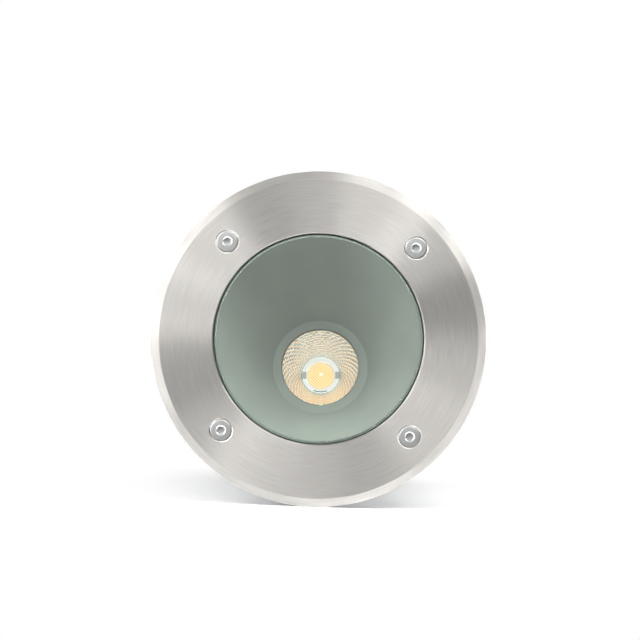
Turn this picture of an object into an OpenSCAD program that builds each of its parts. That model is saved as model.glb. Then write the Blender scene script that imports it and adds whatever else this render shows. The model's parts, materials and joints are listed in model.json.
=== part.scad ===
// In ground well light: a buried plastic sleeve, a sealed die-cast lamp that lifts out of it, and inside
// the lamp a tilted reflector under a round bezel, which turns on a hollow spindle to aim the beam.
// The origin lies on the lamp's axis at finished ground level. +Z is up, out of the ground.
// The light hole is set off towards -Y, and the beam leans towards +Y.

/* [Trim ring] */
// Outer diameter of the trim ring
trim_d = 180; // [178:1:190]
// Diameter of the round opening in the trim ring
opening_d = 113.4; // [111:0.2:114]
// Thickness of the trim ring's plate
trim_t = 4; // [3.6:0.1:6]
// Width of the bevel round the rim, seen from above
bevel_w = 4.5; // [2:0.1:5]
// Height of the bevel round the rim
bevel_h = 2.8; // [1:0.1:3.2]
// Width of the skirt that rests on the ground
skirt_w = 5; // [4:0.1:6]
// Chamfer round the opening
opening_chamfer = 0.5; // [0.2:0.1:1]

/* [Trim screws] */
// Diameter of the circle that the four screws lie on
screw_circle_d = 143; // [142:0.5:145]
// Thread diameter of the trim screws
screw_d = 6; // [5:0.1:6.5]
// Head diameter of the trim screws
screw_head_d = 12; // [11:0.1:12.4]
// Gap between a head and the top edge of its countersink
head_gap = 0.4; // [0.2:0.1:0.6]
// Length of the trim screws under the top of the trim
screw_length = 17; // [12:0.5:17]
// Width across the flats of the hex socket
socket_w = 4; // [3:0.1:4.5]

/* [Glass and seals] */
// Gap between the glass and the edge of the opening
glass_gap = 1.2; // [0.8:0.1:1.6]
// How far the glass lies below the top of the trim
glass_drop = 0.2; // [0.1:0.1:1]
// Thickness of the glass's shoulder, under the trim
shoulder_t = 7; // [6:0.5:8]
// Width of the glass's shoulder
shoulder_w = 8.5; // [7:0.1:9]
// Chamfer round the top of the glass
glass_chamfer = 0.6; // [0.3:0.1:1]
// Thickness of the seal over the shoulder
upper_seal_t = 1; // [0.6:0.1:1.2]
// Thickness of the seal under the glass
lower_seal_t = 2; // [1.5:0.1:2.5]
// Thickness of the gasket between the trim and the sleeve
gasket_t = 1.5; // [1:0.1:2]

/* [Sleeve] */
// Room in the sleeve under the housing, for the cable and its gland
sleeve_room = 49.5; // [46:0.5:120]
// Wall thickness of the sleeve
sleeve_wall = 3; // [2.6:0.1:3.4]
// Thickness of the sleeve's floor
sleeve_floor_t = 4; // [3:0.5:6]
// Distance from the edge of the trim in to the outside of the sleeve
sleeve_inset = 6.5; // [6.2:0.1:7]
// Diameter of the opening in the sleeve's floor, for drainage and the cable
foot_opening_d = 104; // [98:1:110]
// Diameter of the cable entries in the sleeve's side
entry_d = 25; // [20:0.5:25]
// Height of the cable entries over the underside of the sleeve
entry_height = 24; // [22:0.5:26]

/* [Housing] */
// Height of the driver's chamber, from the housing's underside to the top of the bearing plate
chamber_h = 30.5; // [30:0.5:32]
// Wall thickness of the housing
housing_wall = 4; // [3.5:0.1:4.2]
// Thickness of the housing's floor
housing_floor_t = 4; // [3.5:0.1:4.5]
// Number of cooling fins
fin_count = 24; // [12:4:28]
// Thickness of each fin
fin_t = 2.4; // [1.6:0.1:3]
// How far each fin stands out from the wall
fin_reach = 11; // [6:0.5:12]

/* [Optic] */
// Angle that the beam leans from straight up
tilt = 13.5; // [12.5:0.5:14]
// Angle that the optic is turned on its spindle
optic_bearing = 5.4; // [-30:0.1:30]
// Distance of the light hole's centre from the lamp's axis
hole_offset = 16; // [15.5:0.1:16.5]
// Height of the light hole's centre over the bearing plate
hole_height = 37; // [36.5:0.5:38]
// Diameter of the light hole
hole_d = 43.4; // [43.1:0.1:45]
// Width of the flat ledge round the light hole
ledge_w = 4.8; // [4:0.1:5.4]
// Thickness of the bezel's wall
bezel_wall = 1.6; // [1.2:0.1:2]
// Inner diameter of the bezel's upper edge
bezel_d = 112; // [108:0.5:112]
// Inner diameter of the reflector's mouth
reflector_d = 43; // [42:0.1:43.3]
// Inner diameter of the reflector's foot
reflector_foot_d = 22.8; // [22.4:0.1:23.4]
// Height of the reflector
reflector_h = 20.5; // [20:0.5:21]

/* [Light source] */
// Angle that the holder is turned in the optic
holder_turn = -3.4; // [-30:0.1:30]
// Diameter of the yellow light emitting surface
emitter_d = 14.8; // [10:0.1:15.6]
// Side of the square light emitting board
led_board_w = 20; // [18:0.1:20]
// Outer diameter of the raised ring round the emitter
holder_ring_d = 21.8; // [21.6:0.1:22.2]
// Diameter of the holder's flange
holder_d = 40; // [39.5:0.5:40.5]

/* [Turning gear] */
// Diameter of the turntable
turntable_d = 108; // [107:0.5:110]
// Thickness of the turntable
turntable_t = 3; // [3:0.5:3.5]
// Diameter of the spindle that the turntable turns on
spindle_d = 14; // [13:0.5:14]
// Diameter of the wire way through the spindle
spindle_bore_d = 9; // [7:0.5:9]
// Thickness of the bearing plate
bearing_plate_t = 3; // [3:0.5:4]
// Depth of the top of the bearing plate below ground level
bearing_plate_depth = 84; // [82:0.5:88]

/* [Driver and terminals] */
// Length of the driver's case
driver_length = 66; // [60:1:66]
// Width of the driver's case
driver_width = 32; // [30:1:33]
// Height of the driver, with its cover
driver_h = 20; // [19:0.5:20]
// Wall thickness of the driver's case
driver_wall = 1.6; // [1.2:0.1:2]

/* [Cable gland] */
// Thread diameter of the cable gland
gland_d = 20; // [18:0.5:20]
// Width across the flats of the gland's nuts
gland_flats = 24; // [24:0.5:25]
// Diameter of the cable that the rubber bush takes
cable_d = 7; // [5:0.5:9]

/* [Hidden] */
$fn = 96;

// Overshoot of every cutting shape
cut = 1;
// Running gap round plain screws, and the thinnest slice of a hull
fit_gap = 0.05;
slice = 0.01;

// Heights of the stack under the trim
trim_low = gasket_t;
trim_top = trim_low + trim_t;
glass_top = trim_top - glass_drop;
shoulder_top = trim_low - upper_seal_t;
glass_low = shoulder_top - shoulder_t;
recess_floor = glass_low - lower_seal_t;

// Radii of the trim, the glass and the sleeve
trim_r = trim_d / 2;
opening_r = opening_d / 2;
glass_r = opening_r - glass_gap;
shoulder_r = glass_r + shoulder_w;
sleeve_r = trim_r - sleeve_inset;
sleeve_bore_r = sleeve_r - sleeve_wall;

// Trim screws
screw_r = screw_d / 2;
screw_head_r = screw_head_d / 2;
countersink_r = screw_head_r + head_gap;
head_land_z = trim_top - head_gap;
head_land_h = 0.2;
head_dome_h = 0.35;
head_dome_step = 0.9;
socket_depth = 2.4;
socket_chamfer_r = 2.7;
trim_screw_count = 4;
screw_turn = 45;

// Depths below ground level
hole_depth = bearing_plate_depth - hole_height;
housing_depth = bearing_plate_depth + chamber_h;
sleeve_h = housing_depth + sleeve_room;

// Sleeve
sleeve_low = -sleeve_h;
sleeve_floor_top = sleeve_low + sleeve_floor_t;
entry_r = entry_d / 2;
entry_z = sleeve_low + entry_height;
collar_wall = 3;
collar_reach = 9;
collar_root = sleeve_bore_r + sleeve_wall / 4;
plug_t = 3;
plug_lip = 1.5;
panel_count = 20;
panel_angle = 12;
panel_depth = 1.2;
panel_top = -28;
panel_low = entry_z + entry_r + 8;

// Housing
rim_gap = 1.5;
rim_r = sleeve_bore_r - rim_gap;
rim_t = 4;
recess_gap = 0.5;
recess_r = shoulder_r + recess_gap;
recess_wall = 3.5;
shelf_t = 4;
shelf_low = recess_floor - shelf_t;
body_r = recess_r - recess_gap;
inner_r = body_r - housing_wall;
step_w = 2;
lower_r = inner_r - step_w;
floor_low = -housing_depth;
floor_top = floor_low + housing_floor_t;
screw_boss_r = 6;
screw_boss_low = -17;
fin_low = floor_low + 4;
fin_top = shelf_low + shelf_t / 2;
fin_overlap = 1;

// Bearing plate and its screws
plate_top = -bearing_plate_depth;
plate_low = plate_top - bearing_plate_t;
plate_gap = 0.5;
plate_screw_count = 4;
plate_screw_circle_r = lower_r - 3.5;
plate_screw_r = 2;
plate_screw_head_r = 3.8;
plate_screw_length = 10;
plate_boss_r = 4.5;
plate_boss_h = 12;

// Spindle and what runs on it
spindle_r = spindle_d / 2;
spindle_bore_r = spindle_bore_d / 2;
spindle_foot_r = spindle_r - 1;
spindle_collar_r = spindle_r + 2;
washer_t = 0.8;
washer_r = 18;
washer_gap = 0.3;
turntable_low = plate_top + washer_t;
turntable_top = turntable_low + turntable_t;
turntable_r = turntable_d / 2;
wave_washer_t = 1;
wave_washer_r = spindle_r + 4;
ring_t = 1;
ring_r = spindle_r + 3;
ring_groove_r = spindle_r - 1;
ring_gap_w = 5;
ring_low = turntable_top + wave_washer_t;
spindle_top = ring_low + ring_t + 0.7;
nut_h = 4;
nut_flats = 18;
spindle_low = plate_low - nut_h - 0.5;

// Tilted optic, in the light hole's own frame, where zero is the top of the ledge
hole_r = hole_d / 2;
ledge_r = hole_r + ledge_w;
ledge_t = 1.5;
reflector_r = reflector_d / 2;
reflector_foot_r = reflector_foot_d / 2;
reflector_wall = 1;
reflector_top = -ledge_t;
reflector_low = reflector_top - reflector_h;
reflector_steps = 16;
reflector_flange_r = hole_r + 3.5;
// The reflector is a paraboloid: radius squared grows evenly with height
reflector_rate = (pow(reflector_r, 2) - pow(reflector_foot_r, 2)) / reflector_h;
holder_top = reflector_low;
holder_t = 2.9;
holder_low = holder_top - holder_t;
holder_ring_h = 0.5;
pad_t = 0.3;
led_board_t = 1;
led_board_low = holder_low + pad_t;
led_board_top = led_board_low + led_board_t;
emitter_r = emitter_d / 2;
emitter_t = 0.6;
holder_eye_low_r = emitter_r + 0.4;
holder_eye_top_r = emitter_r + 1.1;
board_gap = 0.3;
board_turn = 45;
contact_x = emitter_r + 0.7;
contact_pad_w = 2.6;
contact_pad_h = 1.9;
contact_slot_w = 4.2;
contact_strip_w = 1.8;
contact_strip_h = 0.8;
contact_end_x = 16.5;
lead_r = 0.8;
ring_slot_w = 5.6;
ring_slot_d = 0.9;

// Bezel and the posts that carry it
bezel_top = recess_floor - 0.5;
bezel_r = bezel_d / 2;
bezel_rim_r = inner_r - 0.8;
bezel_rim_t = 1.2;
post_side_x = 38.4;
post_side_y = 6.2;
post_back_y = -49.5;
post_places = [[post_side_x, post_side_y], [-post_side_x, post_side_y], [0, post_back_y]];
post_rise = 6.5;
post_top = post_rise - hole_depth;
post_flats = 6;
post_boss_r = 4;
post_boss_top = bezel_top - (hole_depth + bezel_top) / 3;
post_stud_h = 5;
post_tap_h = 8;
small_screw_r = 1.5;
small_head_r = 2.8;
post_screw_reach = 9;

// Wedge under the light source
wedge_w = 30;
wedge_back = -38;
wedge_front = -6;
wedge_relief_r = 12;
wedge_relief_h = 3.6;
wedge_screw_x = 11;
wedge_screw_y = -21;
wedge_screw_places = [[wedge_screw_x, wedge_screw_y], [-wedge_screw_x, wedge_screw_y]];
wedge_screw_reach = 8;
holder_screw_circle_r = 17;
holder_screw_head_r = 2.75;
holder_screw_head_h = 1.8;
holder_screw_length = 8;

// Leads from the light source: out past the wedge, over the spindle's mouth and down its bore
lead_pitch = 2.8;
lead_out_x = wedge_w / 2 + 5;
lead_out_y = -10;
lead_out_z = spindle_top + 5.5;
lead_over_x = spindle_r + 3;
lead_over_y = 3;
lead_over_z = spindle_top + 2.5;
lead_mouth_z = spindle_top + 1.9;
lead_end_z = spindle_low - 1.5;
lead_clearance = 0.7;
lead_tail = holder_d / 2 - contact_end_x + lead_r + lead_clearance;

// Driver, on the housing's floor
driver_y = -26;
driver_cover_t = 2;
driver_lip_t = 1.5;
driver_low = floor_top;
driver_top = driver_low + driver_h;
case_top = driver_top - driver_cover_t;
ear_w = 12;
ear_reach = 9;
ear_t = 2.5;
ear_hole_inset = 4.5;
driver_screw_r = 2;
driver_screw_head_r = 3.5;
driver_screw_head_h = 2.4;
driver_screw_depth = 3;
circuit_board_t = 1.6;
circuit_board_lift = 3;
circuit_board_gap = 0.5;
circuit_board_low = driver_low + circuit_board_lift;
circuit_board_top = circuit_board_low + circuit_board_t;
case_inner_length = driver_length - 2 * driver_wall;
case_inner_width = driver_width - 2 * driver_wall;
standoff_r = 2.5;
coil_w = 16;
coil_h = 10;
coil_x = 12;
coil_core_r = 5;
capacitor_r = 4;
capacitor_h = 9.5;
capacitor_pair_x = -10;
capacitor_pair_y = 6;
capacitor_far_x = -22;
capacitor_places = [
    [capacitor_pair_x, capacitor_pair_y],
    [capacitor_pair_x, -capacitor_pair_y],
    [capacitor_far_x, 0],
];

// Sweep of the wires: sides of the tube, steps and reach of each bend, and a direction no wire runs in
wire_sides = 10;
bend_steps = 3;
bend_reach = 1.5;
skew = [0.3, 0.5, 0.8];

// Terminal block, earth screw and wires
terminal_x = -36;
terminal_y = 12;
terminal_place = [terminal_x, terminal_y];
terminal_w = 16;
terminal_length = 30;
terminal_h = 14;
terminal_poles = 3;
terminal_pitch = 9;
terminal_bore_r = 1.6;
terminal_screw_r = 2;
terminal_screw_h = 3;
slot_w = 0.8;
slot_d = 1;
wire_r = 1;
earth_wire_r = 1.2;
wire_z = floor_top + terminal_h / 2;
wire_tail = 4;
wire_spacing = 5;
earth_x = 30;
earth_y = 6;
earth_place = [earth_x, earth_y];
earth_turn_x = 14;
earth_turn_y = 6;
earth_screw_head_r = 4;
earth_screw_head_h = 2.6;
output_wire_x = 12;
output_wire_z = lead_end_z - 4;

// Cable gland, through the housing's floor, and the breather valve beside it
gland_y = 34;
gland_place = [0, gland_y];
gland_r = gland_d / 2;
gland_bore_r = 5.5;
bush_r = 6.5;
bush_h = 12;
o_ring_t = 1.5;
gland_hex_h = 5;
gland_hex_top = floor_low - o_ring_t;
gland_hex_low = gland_hex_top - gland_hex_h;
gland_thread_top = floor_top + 7.5;
gland_collet_h = 10;
gland_collet_low = gland_hex_low - gland_collet_h;
locknut_h = 4.5;
dome_gap = 1;
dome_top = gland_hex_low - dome_gap;
bush_low = gland_collet_low - 5;
dome_low = bush_low - 3;
dome_end_r = 8;
breather_x = 36;
breather_y = 26;
breather_place = [breather_x, breather_y];
breather_r = 6;
breather_flats = 16;
breather_h = 5;
breather_cap_r = 6.5;
breather_cap_h = 2;

// Colours
stainless = "#c9c7c3";
screw_grey = "#a9a9a7";
rubber_black = "#1b1b1b";
cast_grey = "#5c6063";
bezel_grey = "#8b958a";
plastic_black = "#26282a";

// A ring or tube round the z axis
module ring(outer_r, inner_r, low_z, high_z) {
    difference() {
        disc(outer_r, low_z, high_z);
        disc(inner_r, low_z - cut, high_z + cut);
    }
}

// A round disc or rod round the z axis
module disc(r, low_z, high_z) {
    translate([0, 0, low_z]) cylinder(r = r, h = high_z - low_z);
}

// A hexagonal bar round the z axis, given across its flats
module hex(flats, low_z, high_z) {
    translate([0, 0, low_z]) cylinder(r = flats / sqrt(3), h = high_z - low_z, $fn = 6);
}

// A straight-sided cone between two heights
module frustum(low_r, high_r, low_z, high_z) {
    translate([0, 0, low_z]) cylinder(r1 = low_r, r2 = high_r, h = high_z - low_z);
}

// A box centred on the z axis
module block(width, depth, low_z, high_z) {
    translate([-width / 2, -depth / 2, low_z]) cube([width, depth, high_z - low_z]);
}

// Copies spaced evenly round the z axis
module around(count, radius, start = 0) {
    for (i = [0:count - 1])
        rotate([0, 0, start + i * 360 / count]) translate([radius, 0, 0]) children();
}

// One copy at each place of a list
module at_each(places) {
    for (place = places)
        translate([place[0], place[1], 0]) children();
}

// A mirrored pair, left and right
module both_sides() {
    children();
    mirror([1, 0, 0]) children();
}

// The optic's own turn about the lamp's axis
module aimed() {
    rotate([0, 0, optic_bearing]) children();
}

// The light hole's frame: its z axis is the beam
module tilted() {
    translate([0, -hole_offset, -hole_depth]) rotate([-tilt, 0, 0]) children();
}

// The holder's own turn about the beam
module held() {
    rotate([0, 0, holder_turn]) children();
}

// A vector made one long
function unit(v) = v / norm(v);

// A route with each inner corner rounded by a quadratic curve, which starts bend_reach before the corner
function rounded(route) = concat(
    [route[0]],
    [for (i = [1:len(route) - 2], k = [0:bend_steps])
        let (
            t = k / bend_steps,
            start = route[i] + bend_reach * unit(route[i - 1] - route[i]),
            end = route[i] + bend_reach * unit(route[i + 1] - route[i])
        )
            (1 - t) * (1 - t) * start + 2 * t * (1 - t) * route[i] + t * t * end],
    [route[len(route) - 1]]
);

// Direction of a path at each of its points
function directions(path) = [
    for (i = [0:len(path) - 1])
        unit(path[min(i + 1, len(path) - 1)] - path[max(i - 1, 0)])
];

// A normal carried along the path, squared up at each point
function carried(dirs, normal, i = 0) = i == len(dirs)
    ? []
    : let (square = unit(normal - (normal * dirs[i]) * dirs[i]))
        concat([square], carried(dirs, square, i + 1));

// Round wire swept along a route
module wire(route, r) {
    path = rounded(route);
    dirs = directions(path);
    normals = carried(dirs, skew);
    last = (len(path) - 1) * wire_sides;
    polyhedron(
        points = [for (i = [0:len(path) - 1], k = [0:wire_sides - 1])
            path[i] + r * cos(k * 360 / wire_sides) * normals[i]
                + r * sin(k * 360 / wire_sides) * cross(dirs[i], normals[i])],
        faces = concat(
            [[for (k = [0:wire_sides - 1]) k]],
            [for (i = [0:len(path) - 2], k = [0:wire_sides - 1])
                let (low = i * wire_sides, next = (k + 1) % wire_sides)
                    [low + k, low + wire_sides + k, low + wire_sides + next, low + next]],
            [[for (k = [wire_sides - 1:-1:0]) last + k]]
        )
    );
}

// Countersunk screw, head up, its head's top edge at z = 0
module countersunk(head_r, r, length) {
    frustum(r, head_r, r - head_r, 0);
    disc(r, -length, r - head_r);
}

// Hole for the same screw
module countersunk_hole(head_r, r, length) {
    frustum(r + fit_gap, head_r, r + fit_gap - head_r, 0);
    disc(head_r, 0, cut);
    disc(r + fit_gap, -length, r + fit_gap - head_r + fit_gap);
}

// Pan head screw, its head resting on z = 0
module pan_head(head_r, head_h, r, length) {
    difference() {
        disc(head_r, 0, head_h);
        block(slot_w, 2 * head_r + cut, head_h - slot_d, head_h + cut);
    }
    disc(r, -length, 0);
}

module mounting_sleeve() {
    color(plastic_black) difference() {
        union() {
            ring(sleeve_r, sleeve_bore_r, sleeve_low, 0);
            disc(sleeve_r, sleeve_low, sleeve_floor_top);
            both_sides() entry_rod(entry_r + collar_wall, sleeve_r - collar_reach, collar_root);
        }
        both_sides() entry_rod(entry_r, sleeve_r - collar_reach - cut, sleeve_r + cut);
        disc(foot_opening_d / 2, sleeve_low - cut, sleeve_floor_top + cut);
        around(panel_count, 0) sleeve_panel();
    }
}

// Shallow panel sunk into the sleeve's outside, which leaves an upright rib on each side of it
module sleeve_panel() {
    rotate_extrude(angle = panel_angle) polygon([
        [sleeve_r - panel_depth, panel_low],
        [sleeve_r + cut, panel_low],
        [sleeve_r + cut, panel_top],
        [sleeve_r - panel_depth, panel_top],
    ]);
}

// Rod along x through a side entry
module entry_rod(r, start_x, end_x) {
    translate([start_x, 0, entry_z]) rotate([0, 90, 0]) cylinder(r = r, h = end_x - start_x);
}

module entry_plug() {
    inner_x = sleeve_r - collar_reach;
    color(rubber_black) mirror([1, 0, 0]) difference() {
        union() {
            entry_rod(entry_r, inner_x, inner_x + collar_reach - sleeve_wall);
            entry_rod(entry_r + plug_lip, inner_x - plug_lip, inner_x);
        }
        entry_rod(entry_r - plug_t, inner_x, inner_x + collar_reach);
    }
}

module sleeve_gasket() {
    color(rubber_black) ring(sleeve_r, sleeve_bore_r, 0, trim_low);
}

module trim_ring() {
    color(stainless) difference() {
        rotate_extrude() polygon([
            [opening_r, trim_low],
            [trim_r - skirt_w, trim_low],
            [trim_r - skirt_w, 0],
            [trim_r, 0],
            [trim_r, trim_top - bevel_h],
            [trim_r - bevel_w, trim_top],
            [opening_r + opening_chamfer, trim_top],
            [opening_r, trim_top - opening_chamfer],
        ]);
        trim_screw_places() translate([0, 0, trim_top])
            countersunk_hole(countersink_r, screw_r, 2 * trim_t);
    }
}

// The four places where the trim is screwed to the housing
module trim_screw_places() {
    around(trim_screw_count, screw_circle_d / 2, screw_turn) children();
}

module trim_screws() {
    dome_z = head_land_z + head_land_h;
    socket_top = dome_z + head_dome_h;
    color(screw_grey) trim_screw_places() difference() {
        union() {
            translate([0, 0, head_land_z]) countersunk(screw_head_r, screw_r, screw_length);
            disc(screw_head_r, head_land_z, dome_z);
            frustum(screw_head_r, screw_head_r - head_dome_step, dome_z, socket_top);
        }
        hex(socket_w, socket_top - socket_depth, socket_top + cut);
        frustum(0, socket_chamfer_r, socket_top - socket_chamfer_r, socket_top);
    }
}

module glass_lens() {
    color("#9fb8ae", 0.45) rotate_extrude() polygon([
        [0, glass_low],
        [shoulder_r, glass_low],
        [shoulder_r, shoulder_top],
        [glass_r, shoulder_top],
        [glass_r, glass_top - glass_chamfer],
        [glass_r - glass_chamfer, glass_top],
        [0, glass_top],
    ]);
}

module upper_glass_seal() {
    color(rubber_black) ring(shoulder_r, opening_r, shoulder_top, trim_low);
}

module lower_glass_seal() {
    color(rubber_black) ring(shoulder_r, inner_r, recess_floor, glass_low);
}

module housing() {
    color(cast_grey) difference() {
        union() {
            rotate_extrude() polygon([
                [0, floor_low],
                [body_r, floor_low],
                [body_r, shelf_low],
                [recess_r + recess_wall, shelf_low],
                [recess_r + recess_wall, trim_low - rim_t],
                [rim_r, trim_low - rim_t],
                [rim_r, trim_low],
                [recess_r, trim_low],
                [recess_r, recess_floor],
                [inner_r, recess_floor],
                [inner_r, plate_low],
                [lower_r, plate_low],
                [lower_r, floor_top],
                [0, floor_top],
            ]);
            trim_screw_places() disc(screw_boss_r, screw_boss_low, trim_low - rim_t / 2);
            around(fin_count, 0, 180 / fin_count) translate([body_r - fin_overlap, -fin_t / 2, fin_low])
                cube([fin_overlap + fin_reach, fin_t, fin_top - fin_low]);
            around(plate_screw_count, plate_screw_circle_r) plate_boss();
        }
        trim_screw_places() disc(screw_r + fit_gap, screw_boss_low + cut, trim_low + cut);
        around(plate_screw_count, plate_screw_circle_r)
            disc(plate_screw_r + fit_gap, plate_top - plate_screw_length, plate_low + cut);
        at_each([gland_place]) disc(gland_r + fit_gap, floor_low - cut, floor_top + cut);
        at_each([breather_place]) disc(breather_r + fit_gap, floor_low - cut, floor_top + cut);
        driver_screw_places() floor_tapping();
        at_each([earth_place]) floor_tapping();
    }
}

// Blind hole in the housing's floor for a driver screw or the earth screw
module floor_tapping() {
    disc(driver_screw_r + fit_gap, floor_top - driver_screw_depth, floor_top + cut);
}

// Boss that joins the housing's wall and takes a screw of the bearing plate
module plate_boss() {
    disc(plate_boss_r, plate_low - plate_boss_h, plate_low);
}

module bearing_plate() {
    color("#b4b7b9") difference() {
        disc(inner_r - plate_gap, plate_low, plate_top);
        disc(spindle_foot_r, plate_low - cut, plate_top + cut);
        around(plate_screw_count, plate_screw_circle_r) translate([0, 0, plate_top])
            countersunk_hole(plate_screw_head_r, plate_screw_r, 2 * bearing_plate_t);
    }
}

module plate_screws() {
    color(screw_grey) around(plate_screw_count, plate_screw_circle_r) translate([0, 0, plate_top])
        difference() {
            countersunk(plate_screw_head_r, plate_screw_r, plate_screw_length);
            block(slot_w, 2 * plate_screw_head_r + cut, -slot_d, cut);
        }
}

module spindle() {
    color("#b9a66a") difference() {
        union() {
            disc(spindle_foot_r, spindle_low, plate_top);
            disc(spindle_collar_r, plate_top, turntable_low - washer_gap);
            disc(spindle_r, plate_top, ring_low);
            disc(ring_groove_r, plate_top, spindle_top);
            disc(spindle_r, ring_low + ring_t, spindle_top);
        }
        disc(spindle_bore_r, spindle_low - cut, spindle_top + cut);
    }
}

module spindle_nut() {
    color("#b9a66a") difference() {
        hex(nut_flats, plate_low - nut_h, plate_low);
        disc(spindle_foot_r, plate_low - nut_h - cut, plate_low + cut);
    }
}

module friction_washer() {
    color("#3b4a5a") ring(washer_r, spindle_collar_r + washer_gap, plate_top, turntable_low);
}

module retaining_ring() {
    color(screw_grey) difference() {
        ring(ring_r, ring_groove_r, ring_low, ring_low + ring_t);
        translate([0, ring_r / 2 + cut, 0])
            block(ring_gap_w, ring_r, ring_low - cut, ring_low + ring_t + cut);
    }
}

// The two places where the driver is screwed down
module driver_screw_places() {
    both_sides() translate([driver_length / 2 + ear_hole_inset, driver_y, 0]) children();
}

module driver_case() {
    color("#d9dad6") difference() {
        union() {
            translate([0, driver_y, 0]) block(driver_length, driver_width, driver_low, case_top);
            translate([0, driver_y, 0])
                block(driver_length + 2 * ear_reach, ear_w, driver_low, driver_low + ear_t);
        }
        translate([0, driver_y, 0]) difference() {
            block(case_inner_length, case_inner_width, driver_low + driver_wall, case_top + cut);
            board_corners() disc(standoff_r, driver_low, circuit_board_low);
        }
        driver_screw_places() disc(driver_screw_r + fit_gap, driver_low - cut, driver_low + ear_t + cut);
    }
}

// The four corners where the circuit board stands
module board_corners() {
    for (side_x = [-1, 1], side_y = [-1, 1])
        translate([
            side_x * (case_inner_length / 2 - standoff_r),
            side_y * (case_inner_width / 2 - standoff_r),
            0,
        ])
            children();
}

module driver_cover() {
    lip_gap = circuit_board_gap;
    color("#e8e8e4") translate([0, driver_y, 0]) {
        block(driver_length, driver_width, case_top, driver_top);
        block(case_inner_length - lip_gap, case_inner_width - lip_gap, case_top - driver_lip_t, case_top);
    }
}

module driver_screws() {
    color(screw_grey) driver_screw_places() translate([0, 0, driver_low + ear_t])
        pan_head(driver_screw_head_r, driver_screw_head_h, driver_screw_r, ear_t + driver_screw_depth);
}

module driver_board() {
    inset = 2 * circuit_board_gap;
    color("#1f5a3a") translate([0, driver_y, 0])
        block(case_inner_length - inset, case_inner_width - inset, circuit_board_low, circuit_board_top);
}

module driver_coil() {
    color("#c9b23a") translate([coil_x, driver_y, 0]) {
        block(coil_w, coil_w, circuit_board_top, circuit_board_top + coil_h - coil_core_r / 2);
        disc(coil_core_r, circuit_board_top, circuit_board_top + coil_h);
    }
}

module driver_capacitors() {
    color("#2c3350") translate([0, driver_y, 0]) at_each(capacitor_places)
        disc(capacitor_r, circuit_board_top, circuit_board_top + capacitor_h);
}

// One copy at each pole of the terminal block
module at_poles() {
    for (i = [0:terminal_poles - 1])
        translate([terminal_place[0], terminal_place[1] + (i - (terminal_poles - 1) / 2) * terminal_pitch, 0])
            children();
}

module terminal_block() {
    top = floor_top + terminal_h;
    color("#e9e6dc") difference() {
        at_each([terminal_place]) block(terminal_w, terminal_length, floor_top, top);
        at_poles() {
            translate([-terminal_w / 2 - cut, 0, wire_z]) rotate([0, 90, 0])
                cylinder(r = terminal_bore_r, h = terminal_w + 2 * cut);
            disc(terminal_screw_r, wire_z, top + cut);
        }
    }
}

module terminal_screws() {
    top = floor_top + terminal_h - 1;
    color(screw_grey) at_poles() difference() {
        disc(terminal_screw_r, top - terminal_screw_h, top);
        block(slot_w, 2 * terminal_screw_r + cut, top - slot_d, top + cut);
    }
}

module earth_screw() {
    color("#c8b45a") at_each([earth_place]) translate([0, 0, floor_top])
        pan_head(earth_screw_head_r, earth_screw_head_h, driver_screw_r, driver_screw_depth);
}

module input_wires() {
    face_x = terminal_place[0] + terminal_w / 2;
    driver_face = driver_y + driver_width / 2;
    color("#6b3f22") for (i = [0:1]) {
        pole_y = terminal_place[1] - (1 - i) * terminal_pitch;
        turn_x = face_x + wire_tail + i * wire_spacing;
        wire([
            [face_x - terminal_w / 4, pole_y, wire_z],
            [turn_x, pole_y, wire_z],
            [turn_x, driver_face, wire_z],
        ], wire_r);
    }
}

module output_wires() {
    driver_face = driver_y + driver_width / 2;
    color("#b02a22") both_sides() wire([
        [output_wire_x, driver_face, output_wire_z],
        [output_wire_x, driver_face + wire_tail, output_wire_z],
        [lead_pitch / 2, 0, output_wire_z],
        [lead_pitch / 2, 0, lead_end_z - washer_gap],
    ], lead_r);
}

module earth_wire() {
    face_x = terminal_place[0] + terminal_w / 2;
    pole_y = terminal_place[1] + terminal_pitch;
    low_z = floor_top + earth_wire_r;
    color("#7fae3a") wire([
        [face_x - terminal_w / 4, pole_y, wire_z],
        [face_x + wire_tail, pole_y, wire_z],
        [face_x + earth_turn_x, pole_y - earth_turn_y, low_z],
        [earth_place[0] - earth_screw_head_r, earth_place[1], low_z],
    ], earth_wire_r);
}

module gland_body() {
    color(plastic_black) at_each([gland_place]) difference() {
        union() {
            disc(gland_r, gland_hex_top, gland_thread_top);
            hex(gland_flats, gland_hex_low, gland_hex_top);
            disc(gland_r, gland_collet_low, gland_hex_low);
        }
        disc(gland_bore_r, gland_collet_low - cut, gland_thread_top + cut);
        disc(bush_r, gland_collet_low - cut, bush_low + bush_h);
    }
}

module gland_o_ring() {
    color(rubber_black) at_each([gland_place]) ring(gland_flats / 2, gland_r, gland_hex_top, floor_low);
}

module gland_locknut() {
    color(plastic_black) at_each([gland_place]) difference() {
        hex(gland_flats, floor_top, floor_top + locknut_h);
        disc(gland_r, floor_top - cut, floor_top + locknut_h + cut);
    }
}

module gland_bush() {
    color("#3a3d40") at_each([gland_place]) ring(bush_r, cable_d / 2, bush_low, bush_low + bush_h);
}

module gland_dome_nut() {
    color(plastic_black) at_each([gland_place]) difference() {
        union() {
            hex(gland_flats, gland_collet_low, dome_top);
            frustum(dome_end_r, gland_flats / 2, dome_low, gland_collet_low);
        }
        disc(gland_r, gland_collet_low, dome_top + cut);
        disc(bush_r, bush_low, gland_collet_low + cut);
        disc(gland_bore_r, dome_low - cut, bush_low + cut);
    }
}

module breather_valve() {
    color("#8a8f93") at_each([breather_place]) {
        disc(breather_r, floor_low, floor_top + 2);
        hex(breather_flats, floor_low - breather_h, floor_low);
        disc(breather_cap_r, floor_low - breather_h - breather_cap_h, floor_low - breather_h);
    }
}

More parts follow.
